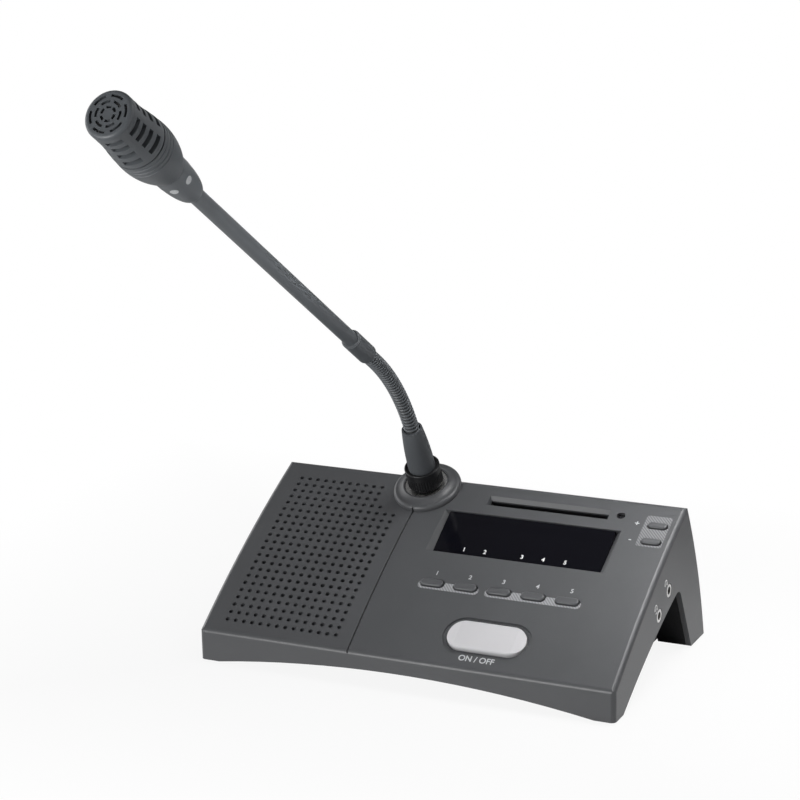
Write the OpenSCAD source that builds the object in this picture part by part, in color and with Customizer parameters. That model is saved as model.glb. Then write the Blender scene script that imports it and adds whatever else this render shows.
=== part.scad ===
// Interpreter console: a desk unit with a loudspeaker, a display, a card slot, keys and a gooseneck microphone.
// The housing is a bent shell. Its sloping panel is a shallow arc, its rear wall another, and a deep notch in
// each side leaves a front foot and a rear leg. The microphone screws into a flared seat at the back edge.
// Sizes are in millimetres. X is to the user's right, Y to the back, Z up; the origin is on the desk below the
// middle of the footprint. "s" is a distance along the panel's curve from its front edge, "p" a depth from the
// front face.

/* [Housing] */
// overall width
body_w = 200; // [190:0.5:215]
// depth of the footprint
base_depth = 119.1; // [115:0.1:126]
// height of the panel's front edge
lip_h = 14.9; // [13:0.1:18]
// slope of the panel at its front edge, in degrees
slope = 35.9; // [34:0.1:38]
// length of the panel along its curve
panel_len = 108.1; // [105:0.1:110]
// radius of the panel's curve
panel_r = 565; // [480:5:700]
// radius of the rear wall's curve
rear_r = 240; // [180:5:320]
// wall thickness of the shell
wall = 2.5; // [2:0.1:3]
// rounding of the panel's front edge
edge_r = 3; // [2:0.1:4]
// rounding of the panel's back edge
back_r = 3.8; // [3:0.1:5]
// rounding along both sides
side_r = 2.4; // [1.5:0.1:2.8]
// height of the arch under the front lip and the rear wall
arch_h = 7.6; // [4:0.1:8.2]
// width of the flat foot at each corner
foot_w = 9.5; // [8:0.5:14]
// length of the front foot
foot_len = 9.5; // [9:0.1:12]
// how far the rubber feet stand out below the housing
foot_gap = 0.6; // [0.4:0.1:1.2]
// radius of the slab's lower edge at the side
slab_r = 375; // [300:5:500]
// depth of a point on the slab's lower edge
slab_p = 76.8; // [72:0.2:80]
// height of that point
slab_z = 32.2; // [30:0.2:34]
// length of the rear leg on the desk
leg_t = 19.6; // [17:0.2:22]
// lean of the rear leg's front edge, in degrees
leg_lean = 27; // [22:0.5:32]
// rounding at the top of the side notch
notch_r = 5; // [3:0.5:8]
// line groove beside the loudspeaker: its place across the panel
groove_x = -25.4; // [-28:0.1:-24]
// line groove: its width and depth
groove_t = 0.8; // [0.5:0.1:1.2]

/* [Base cover] */
// wall thickness of the base cover
base_t = 1.6; // [1.4:0.1:2.2]
// gap between the base cover and the shell
fit_gap = 0.2; // [0.1:0.05:0.3]
// width of the box under the slab
box_w = 168; // [160:1:170]
// depth where the box starts
box_p = 34; // [31:0.5:37]
// height of the box above the desk
box_z = 2.2; // [1.4:0.1:3]
// height of the shelf behind the front lip
shelf_z = 8.7; // [8.4:0.1:9.4]
// front screws: place of the right one across the console
screw_r = 76.8; // [76:0.2:77.6]
// front screws: depth
screw_p = 43; // [42:0.2:44]
// rear screws: distance to each side of the middle
screw_b = 74; // [73:0.2:76]
// rear screws: distance from the back of the footprint
screw_in = 16.8; // [16:0.2:17.6]

/* [Loudspeaker] */
// distance between grille holes
hole_pitch = 4.22; // [4.1:0.01:4.3]
// diameter of a grille hole
hole_d = 2.1; // [1.6:0.1:2.6]
// grille columns
hole_cols = 14; // [10:1:14]
// grille rows
hole_rows = 22; // [16:1:22]
// first column: distance from the left side
hole_in = 11.35; // [10:0.05:12]
// first row, along the panel
hole_s = 7.5; // [7:0.1:8.5]
// no hole lies closer to the microphone seat's axis than this
hole_clear = 21.6; // [20:0.1:24]
// holes go through the panel within this distance of the loudspeaker's axis
open_r = 30.4; // [28:0.1:31]
// depth of the other holes, which are blind
blind_d = 1.3; // [0.8:0.1:1.6]
// diameter of the loudspeaker
speaker_d = 60; // [54:1:60]
// thickness of the cloth behind the grille
cloth_t = 0.6; // [0.4:0.1:1]

/* [Display and card slot] */
// display opening: width
disp_w = 86; // [84:0.1:88]
// display opening: length along the panel
disp_l = 26; // [24:0.1:28]
// display opening: middle across the panel
disp_x = 32.5; // [32:0.1:33]
// display opening: middle along the panel
disp_s = 74; // [73:0.1:75]
// how far the opening's bevel runs in at its ends
disp_run = 2.6; // [1:0.1:3]
// how far it runs in along its long sides
disp_run_s = 0.5; // [0.3:0.1:1.2]
// thickness of the display window's flange
window_t = 1.5; // [1:0.1:2]
// depth of the window's face below the panel at its front
window_f = 2.3; // [1:0.1:2.5]
// and at its back
window_b = 0.4; // [0.2:0.1:1]
// card slot: length, for a card 54 mm wide
slot_w = 57.4; // [56:0.1:58]
// card slot: opening
slot_t = 2.9; // [2.4:0.1:3.4]
// card slot: middle across the panel
slot_x = 37; // [36.6:0.1:37.4]
// card slot: middle along the panel
slot_s = 96.1; // [95.5:0.1:96.5]
// card slot: run of its chamfer along the sides
slot_run = 1.6; // [0.8:0.1:1.8]
// card slot: run of its chamfer at the ends
slot_end = 0.8; // [0.4:0.1:1.2]
// depth of the card reader below the panel
reader_d = 25; // [20:0.5:27]
// lamp hole: place across the panel
lamp_x = 72; // [71.6:0.1:72.6]
// lamp hole: place along the panel
lamp_s = 96.4; // [95:0.1:97]
// lamp hole: diameter
lamp_d = 4; // [3:0.1:5]

/* [Keys] */
// channel keys: length
key_l = 11; // [10:0.1:12]
// channel keys: width
key_w = 3.8; // [3.4:0.1:5]
// channel keys: how many
key_n = 5; // [5:1:5]
// channel keys: distance between middles
key_pitch = 16.15; // [15.5:0.05:16.5]
// channel keys: first one across the panel
key_x = 0.2; // [-0.5:0.1:1]
// channel keys: place along the panel
key_s = 42.4; // [41:0.1:44]
// step keys: length
step_l = 9; // [8:0.1:9.4]
// step keys: width
step_w = 3.3; // [3:0.1:4.6]
// step keys: distance of their middles from the right side
step_in = 9.35; // [9:0.05:10]
// step keys: lower one along the panel
step_s = 82.3; // [81.5:0.1:83]
// step keys: distance between them
step_pitch = 10; // [9:0.1:10.5]
// how far keys stand out of the panel
key_h = 1.2; // [1:0.1:1.8]
// microphone key: length
mic_key_l = 36.8; // [34:0.1:38]
// microphone key: width
mic_key_w = 15; // [13:0.1:16]
// microphone key: place across the panel
mic_key_x = 35.7; // [35:0.1:36.5]
// microphone key: place along the panel
mic_key_s = 17; // [16.5:0.1:18]
// how far the microphone key stands out of the panel
mic_key_h = 1.3; // [1.1:0.1:2]
// margin of the shallow dish round the microphone key
dish_m = 2.3; // [1.5:0.1:2.6]
// depth of that dish
dish_t = 0.7; // [0.4:0.1:1]
// travel of every key
travel = 0.8; // [0.5:0.1:1]
// gap round every key
key_gap = 0.4; // [0.3:0.05:0.5]

/* [Electronics] */
// depth of the board below the panel
board_drop = 12.4; // [12.2:0.1:13]
// thickness of the boards
board_t = 1.6; // [1.2:0.1:1.8]
// height of a key switch, plunger included
switch_h = 4.2; // [3.5:0.1:4.4]
// height of a socket for headphones or a headset
jack_h = 7.2; // [6.6:0.1:7.4]
// diameter of its nickel bush
jack_d = 6; // [5.5:0.1:6.4]
// diameter of its bore
jack_bore = 3.6; // [3.5:0.05:3.8]
// headset socket: place along the board
jack_v = 2.4; // [1.5:0.1:3.5]
// distance between the two sockets
jack_pitch = 14.8; // [14:0.1:16]
// system sockets: distance between their middles
port_pitch = 24; // [20:0.5:30]
// system sockets: width
port_w = 15.4; // [15:0.1:16]
// system sockets: height
port_h = 13; // [12.6:0.1:13.6]

/* [Microphone seat] */
// seat: place across the panel
seat_x = -24.4; // [-24.8:0.1:-24]
// seat: place along the panel
seat_s = 99.2; // [98.5:0.1:99.6]
// seat: radius of the flared rim
seat_r = 16; // [15:0.1:16.4]
// seat: rounding of that rim
rim_r = 1.8; // [1.4:0.1:2.2]
// seat: height of its collar
seat_h = 3.8; // [3:0.1:4.6]
// nickel socket: outer radius
socket_r = 9.9; // [9.4:0.1:10.2]
// nickel socket: inner radius
socket_in = 7; // [6.8:0.1:7.2]
// nickel socket: depth below the panel
socket_d = 14; // [12:0.5:16]
// lock ring: radius
lock_r = 8.3; // [8:0.1:8.6]
// lock ring: height
lock_h = 10.2; // [9:0.1:11.5]
// lock ring: flutes of its knurl
lock_n = 40; // [24:1:48]
// boot: radius where it leaves the lock ring
boot_r = 6.3; // [6:0.1:6.5]
// boot: radius at its top
boot_top_r = 4.8; // [4.6:0.1:5.2]
// boot: length above the lock ring
boot_l = 22.6; // [20:0.1:26]

/* [Gooseneck and microphone] */
// length of the ribbed flex, with what the boot and the collar hold
flex_l = 80.7; // [70:0.1:90]
// radius over the ribs
flex_r = 3.6; // [3.3:0.1:3.7]
// depth of the ribs
rib_t = 0.5; // [0.3:0.05:0.7]
// radius of the flex's bore
flex_bore = 2; // [1.5:0.1:2.4]
// ribs on each half of the flex
ribs = 17; // [10:1:24]
// how far the flex bends as it stands, in degrees
bend = 30.4; // [0:0.1:60]
// length held inside the boot
grip_l = 11.9; // [8:0.1:14]
// length held inside the collar
hold_l = 5; // [4:0.1:6]
// straight length at its upper end
tail_l = 13.9; // [7:0.1:16]
// collar: radius
collar_r = 4.4; // [4.3:0.05:5]
// collar: length
collar_l = 19; // [15:0.5:24]
// rod: radius
rod_r = 3.3; // [2.8:0.05:3.4]
// rod: length between the collar and the neck
rod_l = 153; // [100:1:220]
// neck: radius where it meets the head
neck_r = 7.2; // [6.6:0.1:7.6]
// neck: length
neck_l = 22.5; // [18:0.5:28]
// head: largest radius
head_r = 11.1; // [10.4:0.1:12]
// head: length of its rear shell
shell_l = 22.5; // [18:0.5:28]
// head: radius of the front
front_r = 9.7; // [9:0.1:10]
// head: length of the front cap
cap_l = 22.5; // [22:0.5:28]
// head: slots along the cap's side
vent_n = 4; // [3:1:4]
// head: distance between those slots
vent_pitch = 4.6; // [4:0.1:4.8]
// head: width of those slots
vent_w = 2.3; // [1.5:0.1:2.6]
// columns of slots round the head, and tally windows round the neck
tally_n = 6; // [4:1:6]
// where the first of them looks, in degrees from the right
tally_a = -13.4; // [-30:0.1:30]

/* [Hidden] */
$fn = 96;

plastic = [0.30, 0.31, 0.32];
dark = [0.10, 0.10, 0.11];
nickel = [0.75, 0.74, 0.70];
green = [0.10, 0.35, 0.18];

// panel curve: slope, place and height at a distance s from the front edge
deg = 180 / PI;
function th(s) = slope - s / panel_r * deg;
function yp(p) = p - base_depth / 2;
function py(s) = yp(panel_r * (sin(slope) - sin(th(s))));
function pz(s) = lip_h + panel_r * (cos(th(s)) - cos(slope));
arc_c = [yp(panel_r * sin(slope)), lip_h - panel_r * cos(slope)];

function unit(v) = v / norm(v);
// centre of the arc of radius r from a to b, on the left of the way from a to b seen from +X
function arc_centre(a, b, r) = let (d = b - a, l = norm(d)) (a + b) / 2 + [d[1], -d[0]] / l * sqrt(r * r - l * l / 4);
// the farther of the two points at distance ra from a and rb from b
function two_circles(a, ra, b, rb) = let (d = norm(b - a), u = (b - a) / d, k = (ra * ra - rb * rb + d * d) / (2 * d))
    a + u * k + [u[1], -u[0]] * sqrt(ra * ra - k * k);

rear_c = arc_centre([py(panel_len), pz(panel_len)], [yp(base_depth), 0], rear_r);
// centres of the rounded front and back edges
edge_y = yp(edge_r);
edge_c = [edge_y, arc_c[1] + sqrt(pow(panel_r - edge_r, 2) - pow(edge_y - arc_c[0], 2))];
back_c = two_circles(arc_c, panel_r - back_r, rear_c, rear_r - back_r);

// side notch: the slab's lower edge is an arc, the leg's front edge a line
leg_p = base_depth - leg_t;
slab_c = arc_centre([yp(foot_len), 0], [yp(slab_p), slab_z], slab_r);
leg_n = [cos(leg_lean), sin(leg_lean)];
leg_u = [-sin(leg_lean), cos(leg_lean)];
leg_0 = [yp(leg_p), 0];
notch_q = leg_0 - leg_n * notch_r - slab_c;
notch_b = notch_q * leg_u;
notch_c = slab_c + notch_q + leg_u * (sqrt(notch_b * notch_b - notch_q * notch_q + pow(slab_r - notch_r, 2)) - notch_b);

base_hw = body_w / 2 - wall - fit_gap;
hole_x = hole_in - body_w / 2;
step_x = body_w / 2 - step_in;
spk_r = speaker_d / 2;
spk_x = hole_x + (hole_cols - 1) * hole_pitch / 2;
post_r = 4;
screw_hole = 1.5;
column_h = 6;
column_r = 5;
head_r_s = 2.9;
head_d = 3.6;
head_t = 2;
pad_r = 3.2;
pad_in = 1;
screw_l = spk_x + spk_r + 7;
screw_y = yp(base_depth - screw_in);
screw_at = [[screw_l, yp(screw_p)], [screw_r, yp(screw_p)], [-screw_b, screw_y], [screw_b, screw_y]];

// board frame: parallel to the panel at board_s
board_s = 53;
function off(s) = (s - board_s) / panel_r * deg;
function bv(s) = (panel_r - board_drop) * tan(off(s));
function bd(s) = panel_r - (panel_r - board_drop) / cos(off(s));
board_x0 = screw_l + 3;
board_x1 = body_w / 2 - wall - 1;
// the board's front edge clears the shelf of the base cover
board_v0 = (shelf_z + base_t + 0.4 + (board_drop + board_t) * cos(th(board_s)) - pz(board_s)) / sin(th(board_s));
board_v1 = bv(88.5);
board_v2 = bv(99);
tab_x = board_x1 - 16.8;
stud_at = [[board_x0 + 6, board_v0 + 5], [board_x1 - 7.8, board_v0 + 5],
    [board_x0 + 6, bv(66)], [board_x1 - 15.3, bv(60)]];
stud_r = 2.6;

flange_gap = 0.3;
flange_t = 1.2;
flange_m = 0.9;
clear = 0.3;
key_under = wall + flange_gap + flange_t;
function stem_l(s) = bd(s) - key_under - switch_h - travel - clear;
jack_drop = board_drop + board_t + jack_h / 2;
jack_len = 13;
jack_b = 8;
jack_in = 0.1;
port_z = 11;
port_d = 20;
port_bw = 64;
port_y = yp(base_depth - 7.6);
pillar_at = [for (x = [-1, 1], y = [port_y - port_d - 3, port_y - 7]) [x * (port_bw / 2 - 4), y]];
spk_in = spk_r / 2 + 1;
spk_d = 13;
spk_m = 8;
spk_cap = 7;
spk_s = hole_s + hole_rows * hole_pitch / 2;
cloth_gap = 0.1;
spk_w = wall + 2 * cloth_gap + cloth_t + spk_r * spk_r / (2 * panel_r) + 0.1;
disp_m = 1.6;

// seat and gooseneck, along the seat's axis
lock_w = seat_h + 0.1;
lock_top = lock_w + lock_h;
ring_cup = 0.9;
boot_w = lock_top - ring_cup + 0.1;
boot_top = lock_top + boot_l;
plug_r = 5.4;
run = 0.08;
rim_w = 0.5;
flank_r = 4.5;
cup_d = socket_d + 0.3;
boss_t = 4;
boss_d = 30;
boss_in = 6;
groove_s = seat_s - seat_r + rim_r / 2;
tally_z = 6.2;
tally_r = 1.7;
head_t2 = 1.2;
cap_in = front_r - 0.4;
cap_gap = 0.6;
vent_a = 240 / tally_n;
face_r = 1.6;
straight = 2 * flex_r;
flex_w = boot_top - grip_l;
bend_r = (flex_l - straight - tail_l) / (bend / deg + 0.000001);
// place and direction on the flex at a length t from its lower end: [y, z, angle]
function flex_at(t) = t < straight ? [0, flex_w + t, 0]
    : t < flex_l - tail_l ? let (a = (t - straight) / bend_r * deg)
        [-bend_r * (1 - cos(a)), flex_w + straight + bend_r * sin(a), a]
    : let (k = t - (flex_l - tail_l))
        [-bend_r * (1 - cos(bend)) - k * sin(bend), flex_w + straight + bend_r * sin(bend) + k * cos(bend), bend];

module bar(w) rotate([90, 0, 90]) linear_extrude(w, center = true) children();
module on_panel(x, s) translate([x, py(s), pz(s)]) rotate([th(s), 0, 0]) children();
module on_board() translate([0, py(board_s), pz(board_s)]) rotate([th(board_s), 0, 0]) translate([0, 0, -board_drop]) children();
module on_seat() on_panel(seat_x, seat_s) children();
module on_end(t = flex_l) on_seat() translate([0, flex_at(t)[0], flex_at(t)[1]]) rotate([flex_at(t)[2], 0, 0]) children();
// turns a section given as (radius, x) about an axis along X through c, from angle a over da, seen from +X
module turn(c, a, da) translate([0, c[0], c[1]]) rotate([90, 0, 90]) rotate([0, 0, a]) rotate_extrude(angle = da, $fn = 360) children();
module both() { children(); mirror([1, 0, 0]) children(); }

// flat shapes
module pill2d(l, w) {
    square([l - w, w], center = true);
    for (k = [-1, 1]) translate([k * (l - w) / 2, 0]) circle(w / 2);
}
// what a rounding of radius r about c takes off a corner between the directions n1 and n2
module corner2d(c, r, n1, n2) difference() {
    polygon([c, c + n1 * r * 1.6, c + (n1 + n2) * r * 1.6, c + n2 * r * 1.6]);
    translate(c) circle(r);
}
module body2d(d, z0) intersection() {
    translate(arc_c) circle(panel_r - d, $fn = 720);
    translate(rear_c) circle(rear_r - d, $fn = 360);
    translate([yp(d), z0]) square([base_depth + 20, 120]);
}
module outline2d() difference() {
    body2d(0, foot_gap);
    corner2d(edge_c, edge_r, [-1, 0], unit(edge_c - arc_c));
    corner2d(back_c, back_r, unit(back_c - arc_c), unit(back_c - rear_c));
}
// points of an arc about c from angle a to angle b
function arc_pts(c, r, a, b, n) = [for (i = [0 : n]) let (w = a + (b - a) * i / n) c + r * [cos(w), sin(w)]];
function angle_of(v) = atan2(v[1], v[0]);
// the side notch, grown by d: along the slab's lower edge, round its top, down the leg
module notch2d(d) {
    foot = [yp(foot_len), 0] - slab_c;
    a0 = angle_of(foot) + 4;
    a1 = angle_of(notch_c - slab_c);
    leg = leg_0 + leg_n * d;
    polygon(concat(arc_pts(slab_c, slab_r + d, a0, a1, 24), arc_pts(notch_c, notch_r + d, a1, angle_of(leg_n), 8),
        [leg - leg_u * 9]));
}

// solids that repeat
// a pill-shaped block on z = 0 with a rounded top edge
module pill(l, w, h, r) {
    for (k = [0, 180]) rotate([0, 0, k]) translate([(l - w) / 2, 0, 0]) rotate([0, 0, -90]) rotate_extrude(angle = 180) pill_half(w / 2, h, r);
    rotate([90, 0, 90]) linear_extrude(l - w, center = true) {
        pill_half(w / 2, h, r);
        mirror([1, 0]) pill_half(w / 2, h, r);
    }
}
module pill_half(a, h, r) {
    square([a, h - r]);
    square([a - r, h]);
    intersection() {
        translate([a - r, h - r]) circle(r);
        translate([a - r, h - r]) square(r + 1);
    }
}
// a rectangular opening through the panel whose ends slope in by run and whose sides by run_s over the depth t
module bevel_hole(l, w, run, run_s, t) intersection() {
    rotate([90, 0, 0]) linear_extrude(w + 20, center = true) slope2d(l, run, t);
    rotate([90, 0, 90]) linear_extrude(l + 20, center = true) slope2d(w, run_s, t);
}
module slope2d(l, run, t) polygon([[-l / 2 - run / t, 1], [-l / 2 + run, -t], [-l / 2 + run, -t - 3], [l / 2 - run, -t - 3],
    [l / 2 - run, -t], [l / 2 + run / t, 1]]);

// rounding of the side edges along the panel, the rear wall and the lip; each cut starts and ends in the air
module side_edge(r) difference() {
    translate([r - side_r, body_w / 2 - side_r]) square(side_r + 1);
    translate([r - side_r, body_w / 2 - side_r]) circle(side_r * 1.02);
}
module side_cuts() {
    edge_a = atan2(edge_c[1] - arc_c[1], edge_c[0] - arc_c[0]);
    top_a = atan2(back_c[1] - arc_c[1], back_c[0] - arc_c[0]);
    rear_a = atan2(back_c[1] - rear_c[1], back_c[0] - rear_c[0]);
    foot_a = atan2(foot_gap - 1 - rear_c[1], yp(base_depth) - rear_c[0]);
    turn(arc_c, top_a - 0.9, edge_a - top_a + 1.8) side_edge(panel_r);
    turn(rear_c, foot_a - 0.3, rear_a - foot_a + 2.3) side_edge(rear_r);
    translate([body_w / 2 - side_r, yp(side_r), 0]) linear_extrude(lip_h + 8) difference() {
        translate([0, -side_r - 1]) square(side_r + 1);
        circle(side_r * 1.02);
    }
}

// holes of the grille, row by row: through the panel before the loudspeaker, blind round it
module grille() for (j = [0 : hole_rows - 1]) let (s = hole_s + j * hole_pitch) on_panel(0, s) {
    if (norm([hole_pitch / 2, s - spk_s]) < open_r)
        translate([0, 0, -wall - 2]) linear_extrude(wall + 5) hole_row(s, true);
    if (norm([hole_x - spk_x, s - spk_s]) >= open_r)
        translate([0, 0, -blind_d]) linear_extrude(blind_d + 3) hole_row(s, false);
}
module hole_row(s, open) for (i = [0 : hole_cols - 1]) let (x = hole_x + i * hole_pitch)
    if (norm([x - seat_x, s - seat_s]) > hole_clear && (norm([x - spk_x, s - spk_s]) < open_r) == open)
        translate([x, 0]) circle(hole_d / 2, $fn = 24);
module key_hole(l, w) translate([0, 0, -wall - 2]) linear_extrude(wall + 6) pill2d(l + 2 * key_gap, w + 2 * key_gap);

// the flared seat, in section: rim, hollow flank and collar
module seat2d() {
    difference() {
        translate([0, -9]) square([seat_r - rim_r, 9 + seat_h]);
        translate([seat_r - rim_r, rim_w + rim_r + flank_r]) circle(flank_r);
    }
    translate([seat_r - rim_r, rim_w]) circle(rim_r);
    polygon([[0, -boss_d], [boss_in, -boss_d], [seat_r, -boss_t], [seat_r, rim_w], [0, rim_w]]);
}

module upper_housing() color(plastic) difference() {
    union() {
        difference() {
            bar(body_w) outline2d();
            bar(body_w - 2 * wall) body2d(wall, -5);
            both() side_cuts();
        }
        // seat, hollow below its floor
        difference() {
            on_seat() rotate_extrude() seat2d();
            intersection() {
                bar(body_w - 2 * wall) body2d(wall, -5);
                on_seat() translate([0, 0, -boss_d - 9 - cup_d]) cylinder(h = boss_d + 9 - wall, r = 3 * seat_r);
            }
        }
        // screw posts, board studs and foot blocks
        intersection() {
            union() {
                for (q = screw_at) translate([q[0], q[1], box_z + column_h]) cylinder(h = 80, r = post_r);
                on_board() for (q = stud_at) translate([q[0], q[1], 0]) cylinder(h = 20, r = stud_r);
                both() translate([body_w / 2 - foot_w + 0.5, yp(1), foot_gap]) cube([foot_w - 1.5, foot_len - 1, shelf_z - foot_gap - fit_gap]);
            }
            bar(body_w - 1) body2d(0.5, 0);
        }
    }
    // the notch in each side, the arches and the seat's bore
    bar(body_w + 20) notch2d(0);
    arch();
    on_seat() translate([0, 0, -cup_d]) cylinder(h = 60, r = socket_r + fit_gap);
    on_seat() translate([0, 0, -boss_d - 5]) cylinder(h = 60, r = 3.5);
    // panel: groove, grille, openings for the display, card, lamp and keys
    turn(arc_c, 90 + th(groove_s), slope + 1 - th(groove_s))
        translate([panel_r - groove_t, groove_x - groove_t / 2]) square([groove_t + 2, groove_t]);
    grille();
    on_panel(disp_x, disp_s) bevel_hole(disp_w, disp_l, disp_run, disp_run_s, wall);
    on_panel(slot_x, slot_s) bevel_hole(slot_w + 2 * slot_end, slot_t + 2 * slot_run, slot_end, slot_run, slot_run);
    on_panel(lamp_x, lamp_s) translate([0, 0, -wall - 2]) cylinder(h = wall + 6, r = lamp_d / 2);
    for (k = [0 : key_n - 1]) on_panel(key_x + k * key_pitch, key_s) key_hole(key_l, key_w);
    for (k = [0, 1]) on_panel(step_x, step_s + k * step_pitch) key_hole(step_l, step_w);
    on_panel(mic_key_x, mic_key_s) {
        key_hole(mic_key_l, mic_key_w);
        translate([0, 0, -dish_t]) linear_extrude(6) pill2d(mic_key_l + 2 * dish_m, mic_key_w + 2 * dish_m);
    }
    // side holes for the sockets, holes for the screws, feet and system sockets
    on_jacks() translate([-wall - 2, 0, 0]) rotate([0, 90, 0]) cylinder(h = wall + 6, r = jack_d / 2 + clear);
    for (q = screw_at) translate([q[0], q[1], 0]) cylinder(h = box_z + column_h + 8, r = screw_hole);
    on_board() for (q = stud_at) translate([q[0], q[1], -1]) cylinder(h = 6, r = 1.1);
    both() front_pad() cylinder(h = pad_in + fit_gap, r = pad_r + 0.1);
    on_ports() translate([-port_w / 2 - clear, -20, -clear]) cube([port_w + 2 * clear, 40, port_h + 2 * clear]);
}
module arch() {
    hw = body_w / 2 - foot_w;
    h = arch_h - foot_gap;
    r = (hw * hw + h * h) / (2 * h);
    translate([0, yp(-1), arch_h - r]) rotate([-90, 0, 0]) cylinder(h = 3 + wall, r = r, $fn = 720);
    translate([0, yp(base_depth - 12), arch_h - r]) rotate([-90, 0, 0]) cylinder(h = 30, r = r, $fn = 720);
}
module front_pad() translate([body_w / 2 - foot_w / 2 - 0.4, yp(foot_len / 2 + 0.4), foot_gap]) children();
module rear_pad() translate([(box_w / 2 + base_hw) / 2 + 0.5, yp((leg_p + base_depth - wall) / 2), foot_gap]) children();
module on_jacks(n = [0, 1]) on_board() for (k = n)
    translate([body_w / 2, jack_v + k * jack_pitch, board_drop - jack_drop]) children();
module on_ports() for (k = [-1, 1]) translate([k * port_pitch / 2, port_y, port_z]) children();

// base cover: closes the slab and the leg, with a flat box between the side notches
module base_cover() color(dark) difference() {
    union() {
        difference() {
            union() {
                bar(2 * base_hw) skin2d();
                bar(2 * base_hw) shelf2d();
                bar(2 * base_hw) leg_foot2d(box_z, shelf_z + base_t);
                bar(2 * base_hw) upstand2d();
                both() translate([(base_hw + box_w / 2) / 2, 0, 0]) bar(base_hw - box_w / 2) leg_foot2d(foot_gap, shelf_z);
                bar(box_w) box2d(base_t / 2, 0);
            }
            // the box opens into the housing above and behind it
            bar(box_w - 2 * base_t) box2d(base_t + 1, base_t);
            bar(box_w - 2 * base_t) intersection() {
                body2d(wall + fit_gap + base_t, box_z + base_t);
                translate([yp(leg_p - 24), box_z + base_t]) square([60, 2 * shelf_z]);
            }
        }
        // screw columns and pillars of the port board
        for (q = screw_at) translate([q[0], q[1], box_z]) cylinder(h = column_h, r = column_r);
        for (q = pillar_at) translate([q[0], q[1], box_z]) cylinder(h = port_z - board_t - box_z, r = 3);
    }
    for (q = screw_at) translate([q[0], q[1], box_z - 5]) {
        cylinder(h = 5 + head_d, r = head_r_s + clear);
        cylinder(h = 20, r = screw_hole + 0.2);
    }
    for (q = pillar_at) translate([q[0], q[1], port_z - board_t - 4]) cylinder(h = 6, r = 1.1);
    both() rear_pad() cylinder(h = pad_in + fit_gap, r = pad_r + 0.1);
}
// sections: the skin along the notch, the shelf behind the lip, the upstand behind the rear arch, and the box
module skin2d() intersection() {
    difference() { notch2d(base_t); notch2d(0); }
    body2d(wall + fit_gap, shelf_z);
}
module shelf2d() difference() {
    translate([yp(wall + fit_gap), shelf_z]) square([slab_p / 2, base_t]);
    notch2d(base_t / 2);
}
module upstand2d() intersection() {
    difference() { body2d(wall + fit_gap, box_z); body2d(wall + fit_gap + base_t, -5); }
    translate([yp(slab_p), 0]) square([base_depth, arch_h + 3]);
}
module box2d(d, t) intersection() {
    notch2d(d);
    translate([yp(box_p + t), box_z + t]) square([base_depth, 80]);
}
// section of the leg's bottom between two heights
module leg_foot2d(z0, z1) difference() {
    intersection() {
        body2d(wall + fit_gap, z0);
        translate([yp(leg_p - 12), z0]) square([60, z1 - z0]);
    }
    notch2d(0);
}

module rubber_feet() color(dark) both() {
    front_pad() pad();
    rear_pad() pad();
}
module pad() translate([0, 0, -foot_gap]) cylinder(h = foot_gap + pad_in, r = pad_r);

module housing_screws() color(nickel) for (q = screw_at) translate([q[0], q[1], box_z + head_d]) {
    translate([0, 0, -head_t]) difference() {
        cylinder(h = head_t, r = head_r_s);
        translate([0, 0, -0.1]) for (a = [0, 90]) rotate(a) cube([3.4, 0.8, 2], center = true);
    }
    cylinder(h = column_h - head_d + 6, r = screw_hole - 0.1);
}

// loudspeaker, behind a cloth that follows the panel
module grille_cloth() color(dark) intersection() {
    r = open_r + hole_d / 2;
    turn(arc_c, 90 + th(spk_s + r + 4), (2 * r + 8) / panel_r * deg)
        translate([panel_r - wall - cloth_gap - cloth_t, spk_x - r - 4]) square([cloth_t, 2 * r + 8]);
    on_panel(spk_x, spk_s) cylinder(h = 40, r = r, center = true);
}

module on_speaker() on_panel(spk_x, spk_s) translate([0, 0, -spk_w]) children();
module speaker_frame() color(dark) on_speaker() difference() {
    rotate_extrude() polygon([[spk_r - 3.5, 0], [spk_r, 0], [spk_r, -1.2], [spk_r - 2.5, -1.2], [spk_in + 0.9, -spk_d], [0, -spk_d],
        [0, -spk_d + 1], [spk_in, -spk_d + 1], [spk_r - 3.5, -1]]);
    translate([0, 0, -spk_d - 1]) cylinder(h = 4, r = spk_in - 4);
    for (a = [45 : 90 : 315]) rotate(a) translate([spk_r, 0, -spk_d / 2 - 1]) cube([spk_r, 9, spk_d / 2], center = true);
}
module speaker_cone() color([0.2, 0.19, 0.18]) on_speaker() rotate_extrude() {
    polygon([[spk_r - 4, 0], [spk_r - 4, -0.6], [spk_cap, -spk_d / 2 - 0.6], [spk_cap - 0.8, -spk_d / 2 - 0.6], [spk_cap - 0.8, -spk_d / 2]]);
    intersection() {
        translate([0, -spk_d / 2 - spk_cap - 1]) difference() { circle(spk_cap * 1.5); circle(spk_cap * 1.5 - 0.8); }
        translate([0, -spk_d / 2 - 0.4]) square([spk_cap, spk_cap]);
    }
    translate([spk_cap - 0.6, -spk_d - 2]) square([0.6, spk_d / 2 + 1.7]);
}
module speaker_magnet() color([0.35, 0.35, 0.36]) on_speaker() translate([0, 0, -spk_d - spk_m]) difference() {
    cylinder(h = spk_m, r = spk_in - 0.5);
    difference() {
        translate([0, 0, 2]) cylinder(h = spk_m, r = spk_cap + 0.6);
        cylinder(h = spk_m, r = spk_cap - 1.2);
    }
}

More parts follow.
